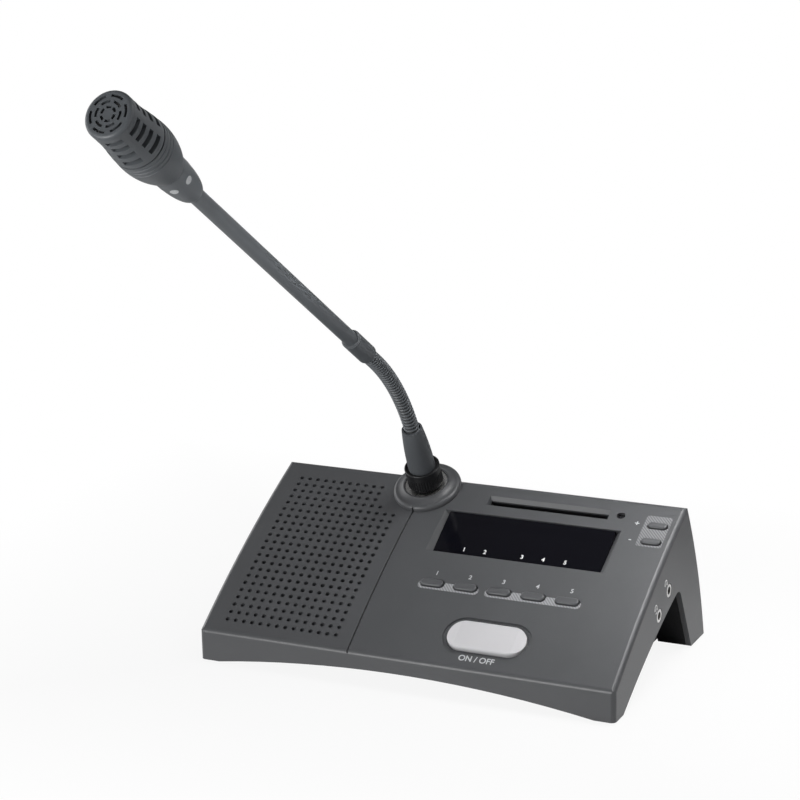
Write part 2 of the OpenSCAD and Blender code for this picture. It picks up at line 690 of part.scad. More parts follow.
// display, card reader and lamp
module display_window() color([0.03, 0.03, 0.04]) on_panel(disp_x, disp_s) {
    w = disp_w - 2 * disp_run - 0.3;
    l = disp_l - 2 * disp_run_s - 0.3;
    translate([0, 0, -wall - clear - window_t / 2]) cube([disp_w + disp_m, disp_l + 2 * disp_m, window_t], center = true);
    low = -wall - clear - window_t / 2;
    bar(w) polygon([[-l / 2, low], [l / 2, low], [l / 2, -window_b], [-l / 2, -window_f]]);
}
module display_module() color(green) on_panel(disp_x, disp_s) {
    d0 = wall + 2 * clear + window_t;
    d1 = bd(disp_s) - (disp_l / 2 + disp_m) * tan(off(disp_s)) - clear;
    translate([-disp_w / 2, -disp_l / 2 - disp_m, -d1]) cube([disp_w, disp_l + 2 * disp_m, d1 - d0]);
}
module card_reader() color(dark) on_panel(slot_x, slot_s) difference() {
    translate([-slot_w / 2 - 3, -4, -reader_d]) cube([slot_w + 6, 8, reader_d - wall - clear]);
    translate([-slot_w / 2 + 0.6, -slot_t / 2 + 0.4, -reader_d + 3]) cube([slot_w - 1.2, slot_t - 0.8, reader_d]);
}
module status_lamp() color([0.8, 0.8, 0.8]) on_panel(lamp_x, lamp_s) translate([0, 0, -wall - 4])
    cylinder(h = wall + 2.8, r = lamp_d / 2 - 0.1);

// main board, parallel to the panel, with the key switches and the lamps of the microphone key
module main_board() color(green) difference() {
    on_board() translate([0, 0, -board_t]) linear_extrude(board_t) difference() {
        union() {
            translate([board_x0, board_v0]) square([board_x1 - board_x0, board_v1 - board_v0]);
            translate([tab_x, board_v0]) square([board_x1 - tab_x, board_v2 - board_v0]);
        }
        for (q = stud_at) translate(q) circle(1.1);
    }
    for (q = screw_at) translate([q[0], q[1], 0]) cylinder(h = 120, r = post_r + 0.6);
    on_seat() translate([0, 0, -60]) cylinder(h = 80, r = seat_r + 1);
}
module board_screws() color(nickel) {
    on_board() for (q = stud_at) translate([q[0], q[1], -board_t]) small_screw();
    for (q = pillar_at) translate([q[0], q[1], port_z]) rotate([180, 0, 0]) small_screw();
}
module small_screw() {
    translate([0, 0, -1.4]) cylinder(h = 1.4, r = 2.2);
    cylinder(h = board_t + 3.4, r = 1);
}
module on_keys() {
    for (k = [0 : key_n - 1]) translate([key_x + k * key_pitch, bv(key_s), 0]) children();
    for (k = [0, 1]) translate([step_x, bv(step_s + k * step_pitch), 0]) children();
    translate([mic_key_x, bv(mic_key_s), 0]) children();
}
module key_switches() color(dark) on_board() on_keys() {
    translate([-3, -3, 0]) cube([6, 6, switch_h - 1]);
    cylinder(h = switch_h, r = 1.7);
}
module key_lamps() color([0.9, 0.9, 0.8]) on_board() for (x = [-1, 1], v = [-1, 1])
    translate([mic_key_x + x * mic_key_l / 4 - 1.6, bv(mic_key_s) + v * mic_key_w / 5 - 0.8, 0]) cube([3.2, 1.6, 1.2]);

// a key: cap, flange under the panel and stem over its switch
module key(x, s, l, w, h, r) color(plastic) on_panel(x, s) {
    translate([0, 0, -wall - flange_gap]) pill(l, w, wall + flange_gap + h, r);
    translate([0, 0, -key_under]) linear_extrude(flange_t) pill2d(l + 2 * flange_m, w + 2 * flange_m);
    translate([0, 0, -key_under - stem_l(s)]) cylinder(h = stem_l(s), r = 1.5);
}
module channel_key(k) key(key_x + (k - 1) * key_pitch, key_s, key_l, key_w, key_h, 0.8);
module step_key(k) key(step_x, step_s + k * step_pitch, step_l, step_w, key_h, 0.8);
module mic_key_cap() color([0.9, 0.9, 0.9]) on_panel(mic_key_x, mic_key_s) {
    difference() {
        translate([0, 0, -wall - flange_gap]) pill(mic_key_l, mic_key_w, wall + flange_gap + mic_key_h, 1);
        for (k = [0, 180]) rotate(k) translate([mic_key_l / 2 - 5, -mic_key_w, mic_key_h]) rotate([0, 11, 0])
            cube([mic_key_w, 2 * mic_key_w, 4]);
    }
    translate([0, 0, -key_under]) linear_extrude(flange_t) pill2d(mic_key_l + 2 * flange_m, mic_key_w + 2 * flange_m);
    translate([0, 0, -key_under - stem_l(mic_key_s)]) cylinder(h = stem_l(mic_key_s), r = 2);
}

// sockets for headphones and a headset, and the system sockets
module jack(k) color(nickel) on_jacks([k]) difference() {
    union() {
        translate([-wall - fit_gap - jack_len, -jack_b / 2, -jack_h / 2]) cube([jack_len, jack_b, jack_h]);
        rotate([0, -90, 0]) translate([0, 0, jack_in]) cylinder(h = wall + 1, r = jack_d / 2);
    }
    rotate([0, -90, 0]) translate([0, 0, -1]) cylinder(h = jack_len + 1, r = jack_bore / 2);
}
module port_board() color(green) difference() {
    translate([-port_bw / 2, port_y - port_d - 6, port_z - board_t]) cube([port_bw, port_d + 4.6, board_t]);
    for (q = pillar_at) translate([q[0], q[1], 0]) cylinder(h = 40, r = 1.1);
}
module system_ports() color(dark) on_ports() difference() {
    translate([-port_w / 2, -port_d, 0]) cube([port_w, port_d, port_h]);
    translate([-6, -port_d + 4, 2.4]) cube([12, port_d, 7]);
    translate([-3, -port_d + 4, 9]) cube([6, port_d, 2]);
}

// microphone socket, plug, lock ring and boot, along the seat's axis
module mic_socket() color(nickel) on_seat() translate([0, 0, -socket_d]) difference() {
    cylinder(h = socket_d + seat_h - 0.5, r = socket_r);
    translate([0, 0, 2]) cylinder(h = socket_d + seat_h, r = socket_in);
    cylinder(h = 6, r = 3.5, center = true);
}
module mic_plug() color(nickel) on_seat() translate([0, 0, 2.3 - socket_d]) difference() {
    cylinder(h = socket_d - 2.3 + boot_w, r = plug_r);
    translate([0, 0, -1]) cylinder(h = socket_d - 1.3 + boot_w - 3, r = plug_r - 1.4);
}
module lock_ring() color([0.06, 0.06, 0.06]) on_seat() difference() {
    union() {
        translate([0, 0, lock_w]) rotate_extrude() lock2d();
        translate([0, 0, -2]) cylinder(h = lock_w + 3, r = socket_in - clear);
    }
    translate([0, 0, -3]) cylinder(h = lock_top + 10, r = plug_r + run);
    for (k = [1 : lock_n]) rotate(360 * k / lock_n) translate([lock_r + 0.15, 0, lock_w + 0.9])
        cylinder(h = lock_h * 0.55, r = 0.45, $fn = 16);
}
// section of the lock ring: knurled below, smooth above, with a rim that stands round the boot's foot
module lock2d() polygon([[0, 0], [lock_r - 0.6, 0], [lock_r, 0.7], [lock_r, lock_h - 0.3], [lock_r - 0.3, lock_h],
    [lock_r - 0.8, lock_h], [lock_r - 0.8, lock_h - ring_cup], [0, lock_h - ring_cup]]);
// the boot's side is an arc from its foot to its top
boot_c = arc_centre([boot_top_r, boot_top], [boot_r, boot_w], 160);
module boot() color(dark) on_seat() difference() {
    rotate_extrude() intersection() {
        translate([0, boot_w]) square([boot_r + 2, boot_top - boot_w]);
        translate(boot_c) circle(160, $fn = 360);
    }
    translate([0, 0, flex_w]) cylinder(h = grip_l + 1, r = flex_r + clear);
}

// ribbed flex in two halves: rings along its line, two to a rib, round a bore
sides = 16;
bores = 8;
function ring(t, r) = let (f = flex_at(t)) [for (k = [0 : sides - 1]) let (c = 360 / sides * (k + 0.5))
    [r * cos(c), f[0] + r * sin(c) * cos(f[2]), f[1] + r * sin(c) * sin(f[2])]];
module flex(t0, t1) {
    n = 2 * ribs;
    outer = [for (i = [0 : n]) ring(t0 + (t1 - t0) * i / n, i % 2 == 0 ? flex_r - rib_t : flex_r)];
    inner = [for (i = [0 : bores]) ring(t0 + (t1 - t0) * i / bores, flex_bore)];
    m = (n + 1) * sides;
    polyhedron([for (r = outer) each r, for (r = inner) each r], [
        for (i = [0 : n - 1], k = [0 : sides - 1]) each quad(i * sides, k, false),
        for (i = [0 : bores - 1], k = [0 : sides - 1]) each quad(m + i * sides, k, true),
        for (k = [0 : sides - 1]) each lid(0, m, k, false),
        for (k = [0 : sides - 1]) each lid(n * sides, m + bores * sides, k, true)]);
}
function quad(i, k, inside) = let (a = i + k, b = i + (k + 1) % sides, c = a + sides, d = b + sides)
    inside ? [[a, b, c], [b, d, c]] : [[a, c, b], [b, c, d]];
function lid(i, j, k, top) = let (a = i + k, b = i + (k + 1) % sides, c = j + k, d = j + (k + 1) % sides)
    top ? [[a, c, b], [b, c, d]] : [[a, b, c], [b, d, c]];
module flex_lower() color([0.27, 0.29, 0.31]) on_seat() flex(0, flex_l / 2);
module flex_upper() color([0.27, 0.29, 0.31]) on_seat() flex(flex_l / 2, flex_l);

// collar, rod and microphone, along the flex's upper end
module collar() color([0.27, 0.29, 0.31]) on_end() difference() {
    translate([0, 0, -hold_l]) rotate_extrude() polygon([[0, 0], [collar_r - 0.4, 0], [collar_r, 0.4], [collar_r, collar_l - 0.8],
        [collar_r - 0.8, collar_l], [0, collar_l]]);
    translate([0, 0, -hold_l - 1]) cylinder(h = hold_l + 1, r = flex_r + 0.1);
    cylinder(h = 60, r = flex_bore, center = true);
}
module on_rod() on_end() translate([0, 0, collar_l - hold_l]) children();
module on_neck() on_rod() translate([0, 0, rod_l]) children();
module on_head() on_neck() translate([0, 0, neck_l]) children();
module on_cap() on_head() translate([0, 0, shell_l]) children();
module rod() color([0.27, 0.29, 0.31]) on_rod() difference() {
    cylinder(h = rod_l, r = rod_r);
    cylinder(h = 3 * rod_l, r = flex_bore, center = true);
}
// the neck swells like a quarter of an ellipse
function neck_at(z) = rod_r + (neck_r - rod_r) * sqrt(max(0, 1 - pow(1 - z / neck_l, 2)));
module neck2d(d) polygon([[0, 0], for (i = [0 : 20]) let (z = neck_l * (1 - cos(i * 4.5))) [neck_at(z) + d, z], [0, neck_l]]);
module tally(r) for (k = [0 : tally_n - 1]) rotate(360 / tally_n * k + tally_a) translate([neck_r - 3, 0, neck_l - tally_z])
    rotate([0, 90, 0]) cylinder(h = 10, r = r);
module neck() color(plastic) on_neck() difference() {
    rotate_extrude() neck2d(0);
    translate([0, 0, -1]) cylinder(h = neck_l + 2, r = flex_bore);
    translate([0, 0, neck_l - tally_z - tally_r - 1]) cylinder(h = 40, r = neck_r - 2);
    tally(tally_r);
}
module tally_windows() color([0.9, 0.9, 0.9]) on_neck() intersection() {
    tally(tally_r - 0.05);
    difference() {
        rotate_extrude() neck2d(0.05);
        cylinder(h = 3 * neck_l, r = neck_r - 1.6, center = true);
    }
}
// rear shell of the head: a barrel whose widest place lies near its front
barrel = (pow(shell_l * 0.8, 2) + pow(head_r - neck_r, 2)) / (2 * (head_r - neck_r));
module shell2d(d) intersection() {
    translate([head_r - barrel, shell_l * 0.8]) circle(barrel - d, $fn = 360);
    square([head_r, shell_l]);
}
module mic_shell() color(plastic) on_head() difference() {
    rotate_extrude() difference() {
        shell2d(0);
        translate([head_r + 0.1, shell_l - 6]) for (k = [0 : 2]) translate([0, k * 2.2]) circle(0.5, $fn = 24);
    }
    rotate_extrude() translate([0, head_t2]) intersection() {
        shell2d(head_t2);
        square([head_r, shell_l]);
    }
    translate([0, 0, shell_l - 3]) cylinder(h = 6, r = cap_in);
    cylinder(h = 9, r = flex_bore, center = true);
}
// front cap: eases from the shell's width to the front's
function cap_at(z) = front_r + (head_r - 0.3 - front_r) * (0.5 + 0.5 * cos(min(180, 180 * z / (cap_l * 0.62))));
module cap2d(d) {
    polygon([[0, 0], for (i = [0 : 12]) let (z = (cap_l - face_r) * i / 12) [cap_at(z) - d, z], [0, cap_l - face_r]]);
    translate([0, cap_l - face_r - 0.01]) square([front_r - face_r, face_r + 0.01 - d]);
    intersection() {
        translate([front_r - face_r, cap_l - face_r]) circle(face_r - d);
        translate([front_r - face_r, cap_l - face_r]) square(face_r);
    }
}
module mic_cap() color(plastic) on_cap() difference() {
    union() {
        translate([0, 0, cap_gap]) rotate_extrude() cap2d(0);
        translate([0, 0, -2.6]) cylinder(h = 6, r = cap_in - 0.1);
    }
    translate([0, 0, -4]) cylinder(h = cap_l + 4 - head_t2, r = cap_in - 1.2);
    // slots round the side, in columns, and three rings of slots in the face
    for (k = [0 : vent_n - 1], a = [0 : tally_n - 1])
        translate([0, 0, cap_l + cap_gap - 5 - vent_w / 2 - k * vent_pitch]) rotate(360 / tally_n * a + tally_a - vent_a / 2)
            rotate_extrude(angle = vent_a) translate([cap_in - 2, 0]) square([6, vent_w]);
    for (r = [2.2, 4.4, 6.6], a = [0 : 5]) rotate(60 * a + 8 * r) translate([0, 0, cap_l - 3]) rotate_extrude(angle = 42)
        translate([r, 0]) square([1, 6]);
}
module mic_capsule() color(nickel) on_cap() translate([0, 0, 3]) cylinder(h = cap_l - 9, r = cap_in - 1.4);

// node switches
upper_housing();
base_cover();
rubber_feet();
housing_screws();
grille_cloth();
speaker_frame();
speaker_cone();
speaker_magnet();
display_window();
display_module();
card_reader();
status_lamp();
main_board();
board_screws();
key_switches();
key_lamps();
channel_key(1);  // channel_key_1
channel_key(2);  // channel_key_2
channel_key(3);  // channel_key_3
channel_key(4);  // channel_key_4
channel_key(5);  // channel_key_5
step_key(1);  // step_up_key
step_key(0);  // step_down_key
mic_key_cap();  // mic_key
jack(1);  // headphone_jack
jack(0);  // headset_jack
port_board();
system_ports();
mic_socket();
mic_plug();
lock_ring();
boot();
flex_lower();
flex_upper();
collar();
rod();
neck();
tally_windows();
mic_shell();
mic_capsule();
mic_cap();
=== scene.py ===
import math

import bmesh
import bpy
from mathutils import Matrix, Vector


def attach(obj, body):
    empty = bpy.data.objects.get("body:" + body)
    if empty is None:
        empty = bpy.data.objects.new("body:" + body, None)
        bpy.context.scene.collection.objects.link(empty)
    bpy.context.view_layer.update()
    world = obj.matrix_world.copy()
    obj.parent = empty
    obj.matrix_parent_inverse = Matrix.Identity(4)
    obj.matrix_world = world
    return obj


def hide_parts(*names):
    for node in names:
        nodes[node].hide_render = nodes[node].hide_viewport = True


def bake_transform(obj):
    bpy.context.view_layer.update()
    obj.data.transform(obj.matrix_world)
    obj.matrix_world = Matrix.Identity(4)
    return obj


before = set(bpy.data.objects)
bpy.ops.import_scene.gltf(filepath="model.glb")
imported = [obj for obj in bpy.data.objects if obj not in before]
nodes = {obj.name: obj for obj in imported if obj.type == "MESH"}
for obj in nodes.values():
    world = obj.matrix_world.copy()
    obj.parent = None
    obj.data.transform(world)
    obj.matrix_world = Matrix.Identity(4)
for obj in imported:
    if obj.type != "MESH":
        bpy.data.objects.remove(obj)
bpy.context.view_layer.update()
scene = bpy.context.scene
scene.view_settings.view_transform = "Standard"
MM = 0.001

# the panel's curve, as in the part's source, in millimetres
BASE_DEPTH = 119.1
LIP_H = 14.9
SLOPE = math.radians(35.9)
PANEL_R = 565.0
HALF_W = 100.0


def lean(s):
    """The panel's slope at the length s along its curve."""
    return SLOPE - s / PANEL_R


def panel_point(x, s, w):
    """The point at (x, s) on the panel, w above its face."""
    a = lean(s)
    r = PANEL_R + w
    y = PANEL_R * math.sin(SLOPE) - r * math.sin(a) - BASE_DEPTH / 2
    z = LIP_H + r * math.cos(a) - PANEL_R * math.cos(SLOPE)
    return Vector((x, y, z)) * MM


def flat_point(x0, s0):
    """Maps (x, y, w) of a plane that touches the panel at (x0, s0)."""
    a = lean(s0)
    up = Vector((0, math.cos(a), math.sin(a))) * MM
    out = Vector((0, -math.sin(a), math.cos(a))) * MM
    start = panel_point(x0, s0, 0)
    return lambda x, y, w: start + Vector((x * MM, 0, 0)) + up * y + out * w


def side_point(y0, z0):
    """Maps (x, y, w) of the right side, seen from outside, about a place on it."""
    return lambda x, y, w: Vector((HALF_W + w, y0 + x, z0 + y)) * MM


# shader nodes
# the Mix node's sockets for colours
COLOUR_A = 6
COLOUR_B = 7
COLOUR_OUT = 2
# a wave texture of scale 1 repeats after this many metres
WAVE_SPAN = 0.314


def add(tree, kind, **values):
    node = tree.nodes.new(kind)
    for key, value in values.items():
        setattr(node, key, value)
    return node


def noise(tree, coords, scale, detail):
    n = add(tree, "ShaderNodeTexNoise")
    n.inputs["Scale"].default_value = scale
    n.inputs["Detail"].default_value = detail
    tree.links.new(coords, n.inputs["Vector"])
    return n.outputs["Fac"]


def bands(tree, coords, axis, period):
    n = add(tree, "ShaderNodeTexWave", wave_type="BANDS", bands_direction=axis)
    n.inputs["Scale"].default_value = WAVE_SPAN / period
    tree.links.new(coords, n.inputs["Vector"])
    return n.outputs["Fac"]


def ranged(tree, value, low, high, start=0.3, end=0.7):
    """Maps start to low and end to high."""
    n = add(tree, "ShaderNodeMapRange")
    n.inputs["From Min"].default_value = start
    n.inputs["From Max"].default_value = end
    n.inputs["To Min"].default_value = low
    n.inputs["To Max"].default_value = high
    tree.links.new(value, n.inputs["Value"])
    return n.outputs["Result"]


def calc(tree, operation, *values):
    n = add(tree, "ShaderNodeMath", operation=operation)
    for socket, value in zip(n.inputs, values):
        if isinstance(value, float):
            socket.default_value = value
        else:
            tree.links.new(value, socket)
    return n.outputs[0]


def mixed(tree, fac, a, b):
    """Mixes two colours, each a tuple or a socket."""
    n = add(tree, "ShaderNodeMix", data_type="RGBA")
    tree.links.new(fac, n.inputs["Factor"])
    for index, value in ((COLOUR_A, a), (COLOUR_B, b)):
        if isinstance(value, tuple):
            n.inputs[index].default_value = (*value, 1.0)
        else:
            tree.links.new(value, n.inputs[index])
    return n.outputs[COLOUR_OUT]


def emboss(tree, shader, height, strength, depth):
    n = add(tree, "ShaderNodeBump")
    n.inputs["Strength"].default_value = strength
    n.inputs["Distance"].default_value = depth
    tree.links.new(height, n.inputs["Height"])
    tree.links.new(n.outputs["Normal"], shader.inputs["Normal"])


def end_in_mix(tree, output, fac, first, second):
    """Ends a tree in a mix of two shaders."""
    n = add(tree, "ShaderNodeMixShader")
    tree.links.new(fac, n.inputs["Fac"])
    tree.links.new(first.outputs[0], n.inputs[1])
    tree.links.new(second.outputs[0], n.inputs[2])
    tree.links.new(n.outputs[0], tree.nodes[output].inputs["Surface"])


def shade(colour, k):
    return tuple(max(0.0, min(1.0, c * k)) for c in colour)


# materials: depths, periods and pitches in metres, scales per metre
FINE_DETAIL = 2.0
WIDE_DETAIL = 4.0
WIDE_SCALE = 45.0
GRAIN_SHARE = 0.5
GRAIN_DEPTH = 0.00003
COAT_ROUGH = 0.1
SCATTER = (0.002, 0.002, 0.002)
HATCH_PERIOD = 0.0010
HATCH_TURN = math.radians(-47)
THREAD_PITCH = 0.00045
THREAD_TONE = 1.5
GAP_TONE = 0.4
THREAD_BUMP = 0.6
THREAD_DEPTH = 0.0001
TRACK_SCALE = 180.0
FIELD_TONE = 1.3
TRACK_SHARE = 0.03


def inner_of(material):
    """A material's node tree, its shader and its object coordinates."""
    tree = material.node_tree
    coords = add(tree, "ShaderNodeTexCoord").outputs["Object"]
    return tree, tree.nodes["Principled BSDF"], coords


def finish_of(name, colour, rough, grain=2400.0, bump=0.25, spread=0.08, rough_spread=0.06, metallic=0.0,
              ior=1.45, specular=0.5, coat=0.0, sheen=0.0, subsurface=0.0):
    """A fine grained surface: slow changes of tone, grain in tone, roughness and relief."""
    m = bpy.data.materials.new(name)
    m.use_nodes = True
    t, b, co = inner_of(m)
    fine = noise(t, co, grain, FINE_DETAIL)
    wide = noise(t, co, WIDE_SCALE, WIDE_DETAIL)
    tone = mixed(t, ranged(t, wide, 0.0, 1.0), shade(colour, 1 - spread), shade(colour, 1 + spread))
    tone = mixed(t, ranged(t, fine, 0.0, GRAIN_SHARE), tone, shade(colour, 1 - 2 * spread))
    t.links.new(tone, b.inputs["Base Color"])
    t.links.new(ranged(t, fine, rough - rough_spread, rough + rough_spread), b.inputs["Roughness"])
    emboss(t, b, fine, bump, GRAIN_DEPTH)
    b.inputs["Metallic"].default_value = metallic
    b.inputs["IOR"].default_value = ior
    b.inputs["Specular IOR Level"].default_value = specular
    b.inputs["Coat Weight"].default_value = coat
    b.inputs["Coat Roughness"].default_value = COAT_ROUGH
    b.inputs["Sheen Weight"].default_value = sheen
    b.inputs["Subsurface Weight"].default_value = subsurface
    b.inputs["Subsurface Radius"].default_value = SCATTER
    return m


def print_of(name, light, dark):
    """Printed ink with a fine slanting hatch."""
    m = finish_of(name, light, 0.5, bump=0.15)
    t, b, co = inner_of(m)
    place = add(t, "ShaderNodeMapping")
    place.inputs["Rotation"].default_value = (0, 0, HATCH_TURN)
    t.links.new(co, place.inputs["Vector"])
    wave = bands(t, place.outputs["Vector"], "X", HATCH_PERIOD)
    tone = mixed(t, ranged(t, wave, 0.0, 1.0), dark, light)
    t.links.new(tone, b.inputs["Base Color"])
    return m


def cloth_of(name, colour):
    """A woven cloth: two crossing sets of threads."""
    m = finish_of(name, colour, 0.9, sheen=0.2)
    t, b, co = inner_of(m)
    weave = calc(t, "MAXIMUM", bands(t, co, "X", THREAD_PITCH), bands(t, co, "Y", THREAD_PITCH))
    tone = mixed(t, weave, shade(colour, GAP_TONE), shade(colour, THREAD_TONE))
    t.links.new(tone, b.inputs["Base Color"])
    emboss(t, b, weave, THREAD_BUMP, THREAD_DEPTH)
    return m


def board_of(name, colour, line):
    """A circuit board: lacquer over a net of tracks."""
    m = finish_of(name, colour, 0.35, coat=0.3)
    t, b, co = inner_of(m)
    brick = add(t, "ShaderNodeTexBrick")
    brick.inputs["Scale"].default_value = TRACK_SCALE
    brick.inputs["Mortar Size"].default_value = TRACK_SHARE
    brick.inputs["Color1"].default_value = (*colour, 1)
    brick.inputs["Color2"].default_value = (*shade(colour, FIELD_TONE), 1)
    brick.inputs["Mortar"].default_value = (*line, 1)
    t.links.new(co, brick.inputs["Vector"])
    t.links.new(brick.outputs["Color"], b.inputs["Base Color"])
    return m


GREY = (0.068, 0.070, 0.074)
STEEL_GREY = (0.076, 0.083, 0.090)
body_skin = finish_of("housing_plastic", GREY, 0.39, spread=0.05)
key_skin = finish_of("key_plastic", shade(GREY, 1.08), 0.38, spread=0.05)
base_skin = finish_of("base_plastic", (0.010, 0.010, 0.011), 0.65, grain=1800.0, specular=0.25)
black_plastic = finish_of("black_plastic", (0.008, 0.008, 0.009), 0.50)
rubber = finish_of("rubber", (0.015, 0.015, 0.015), 0.75, grain=1500.0, bump=0.4)
steel = finish_of("steel", (0.55, 0.55, 0.54), 0.35, metallic=1.0, bump=0.08)
nickel = finish_of("nickel", (0.62, 0.615, 0.605), 0.30, metallic=1.0, bump=0.05, spread=0.03)
black_steel = finish_of("black_steel", (0.03, 0.03, 0.03), 0.45, metallic=0.3)
ring_black = finish_of("ring_black", (0.008, 0.008, 0.009), 0.36, bump=0.1)
boot_skin = finish_of("boot_rubber", (0.078, 0.084, 0.091), 0.50, grain=1800.0)
stem_skin = finish_of("stem_lacquer", STEEL_GREY, 0.44, grain=1500.0, bump=0.0, spread=0.012,
                      rough_spread=0.01)
# the flex: a lighter copy of the stem lacquer on the ribs is painted highlight, a much darker copy in the
# grooves is painted shade
rib_painted_light = finish_of("rib_lacquer_painted_light", shade(STEEL_GREY, 1.3), 0.44, grain=1500.0, bump=0.0, spread=0.02)
groove_painted_shade = finish_of("groove_lacquer_painted_shade", shade(STEEL_GREY, 0.25), 0.60, grain=1500.0, bump=0.0)
head_skin = finish_of("head_lacquer", shade(STEEL_GREY, 1.15), 0.44, grain=2500.0, bump=0.05, spread=0.04)
paper = finish_of("cone_paper", (0.035, 0.033, 0.03), 0.85, grain=700.0, bump=0.5)
ferrite = finish_of("ferrite", (0.09, 0.09, 0.095), 0.6)
glass = finish_of("display_glass", (0.003, 0.003, 0.005), 0.08, ior=1.30, bump=0.0, rough_spread=0.02)
lens = finish_of("lamp_lens", (0.006, 0.006, 0.007), 0.25)
milk = finish_of("key_milk", (0.50, 0.496, 0.51), 0.38, spread=0.02, bump=0.08, subsurface=0.2)
window = finish_of("tally_clear", (0.40, 0.41, 0.42), 0.25, spread=0.02, bump=0.02, coat=0.3)
led = finish_of("lamp_resin", (0.75, 0.73, 0.60), 0.3)
mesh_metal = finish_of("capsule_metal", (0.35, 0.35, 0.35), 0.4, metallic=1.0)
cloth = cloth_of("speaker_cloth", (0.010, 0.010, 0.010))
board = board_of("board_lacquer", (0.012, 0.07, 0.03), (0.05, 0.16, 0.07))
hatch = print_of("print_hatch", (0.190, 0.193, 0.200), (0.105, 0.107, 0.111))
strip_ink = print_of("print_grey", (0.285, 0.29, 0.30), (0.185, 0.188, 0.194))
ink = finish_of("print_white", (0.48, 0.49, 0.50), 0.5, bump=0.05, spread=0.03)
bright_ink = finish_of("print_bright", (0.80, 0.80, 0.80), 0.5, bump=0.02, spread=0.02)

LOOKS = {
    body_skin: ("upper_housing",),
    base_skin: ("base_cover",),
    key_skin: ("channel_key_1", "channel_key_2", "channel_key_3", "channel_key_4", "channel_key_5",
               "step_up_key", "step_down_key"),
    black_plastic: ("card_reader", "key_switches", "system_ports"),
    rubber: ("rubber_feet",),
    steel: ("housing_screws", "board_screws"),
    nickel: ("headphone_jack", "headset_jack", "mic_socket", "mic_plug"),
    black_steel: ("speaker_frame",),
    ring_black: ("lock_ring",),
    boot_skin: ("boot",),
    stem_skin: ("flex_lower", "flex_upper", "collar", "rod"),
    head_skin: ("neck", "mic_shell", "mic_cap"),
    paper: ("speaker_cone",),
    ferrite: ("speaker_magnet",),
    glass: ("display_window",),
    lens: ("status_lamp",),
    milk: ("mic_key",),
    window: ("tally_windows",),
    led: ("key_lamps",),
    mesh_metal: ("mic_capsule",),
    cloth: ("grille_cloth",),
    board: ("main_board", "port_board", "display_module"),
}
for look, names in LOOKS.items():
    for name in names:
        nodes[name].data.materials.clear()
        nodes[name].data.materials.append(look)

# flat prints, drawn in millimetres and then laid on a surface
INK = 0.05
WELD = 0.0005
THINNEST_ROW = 0.2
LETTER_WEIGHT = 0.016
PILL_STEPS = 14
ARC_STEPS = 16


def link_new(name, data):
    obj = bpy.data.objects.new(name, data)
    scene.collection.objects.link(obj)
    return obj


def mesh_from(bm, name):
    mesh = bpy.data.meshes.new(name)
    bm.to_mesh(mesh)
    bm.free()
    return mesh


def piece(name, mesh, look):
    mesh.materials.clear()
    mesh.materials.append(look)
    return link_new(name, mesh)


def pill_loop(x, y, length, width):
    """Points round a pill shape."""
    r = width / 2
    k = length / 2 - r
    loop = []
    for side in (1, -1):
        for i in range(PILL_STEPS + 1):
            a = math.radians(-90 + 180 * i / PILL_STEPS)
            loop.append((x + side * (k + r * math.cos(a)), y + side * r * math.sin(a)))
    return loop


def round_loop(x, y, length, width, r, steps):
    """Points round a rectangle with rounded corners."""
    loop = []
    for q, (sx, sy) in enumerate(((1, 1), (-1, 1), (-1, -1), (1, -1))):
        corner_x = x + sx * (length / 2 - r)
        corner_y = y + sy * (width / 2 - r)
        for i in range(steps + 1):
            a = math.radians(90 * q + 90 * i / steps)
            loop.append((corner_x + r * math.cos(a), corner_y + r * math.sin(a)))
    return loop


def arc_loop(x, y, r, width, start, end):
    """Points round a curved stroke."""
    angles = [math.radians(start + (end - start) * i / ARC_STEPS) for i in range(ARC_STEPS + 1)]
    loop = []
    for edge, way in ((r + width / 2, angles), (r - width / 2, reversed(angles))):
        for a in way:
            loop.append((x + edge * math.cos(a), y + edge * math.sin(a)))
    return loop


def flat_mesh(curve):
    """The mesh of a flat curve or text, which is then removed."""
    curve.extrude = INK / 2
    obj = link_new("flat", curve)
    depsgraph = bpy.context.evaluated_depsgraph_get()
    mesh = bpy.data.meshes.new_from_object(obj.evaluated_get(depsgraph))
    bpy.data.objects.remove(obj)
    bpy.data.curves.remove(curve)
    return mesh


def loops_mesh(loops):
    curve = bpy.data.curves.new("loops", "CURVE")
    curve.dimensions = "2D"
    curve.fill_mode = "BOTH"
    for loop in loops:
        spline = curve.splines.new("POLY")
        spline.points.add(len(loop) - 1)
        for point, (x, y) in zip(spline.points, loop):
            point.co = (x, y, 0, 1)
        spline.use_cyclic_u = True
    return flat_mesh(curve)


def text_mesh(words, size):
    """Several short marks in one mesh: (text, x, y), each centred on its place."""
    bm = bmesh.new()
    for text, x, y in words:
        curve = bpy.data.curves.new("mark", "FONT")
        curve.body = text
        curve.size = size
        curve.align_x = "CENTER"
        curve.align_y = "CENTER"
        curve.offset = size * LETTER_WEIGHT
        mesh = flat_mesh(curve)
        mesh.transform(Matrix.Translation((x, y, 0)))
        bm.from_mesh(mesh)
        bpy.data.meshes.remove(mesh)
    return mesh_from(bm, "marks")


def cut_rows(bm, step):
    """Cuts a flat mesh every step along y, so that it can follow a curve."""
    high = max(v.co.y for v in bm.verts)
    y = min(v.co.y for v in bm.verts) + step
    while y < high - THINNEST_ROW * step:
        geom = bm.verts[:] + bm.edges[:] + bm.faces[:]
        bmesh.ops.bisect_plane(bm, geom=geom, plane_co=(0, y, 0), plane_no=(0, 1, 0))
        y += step


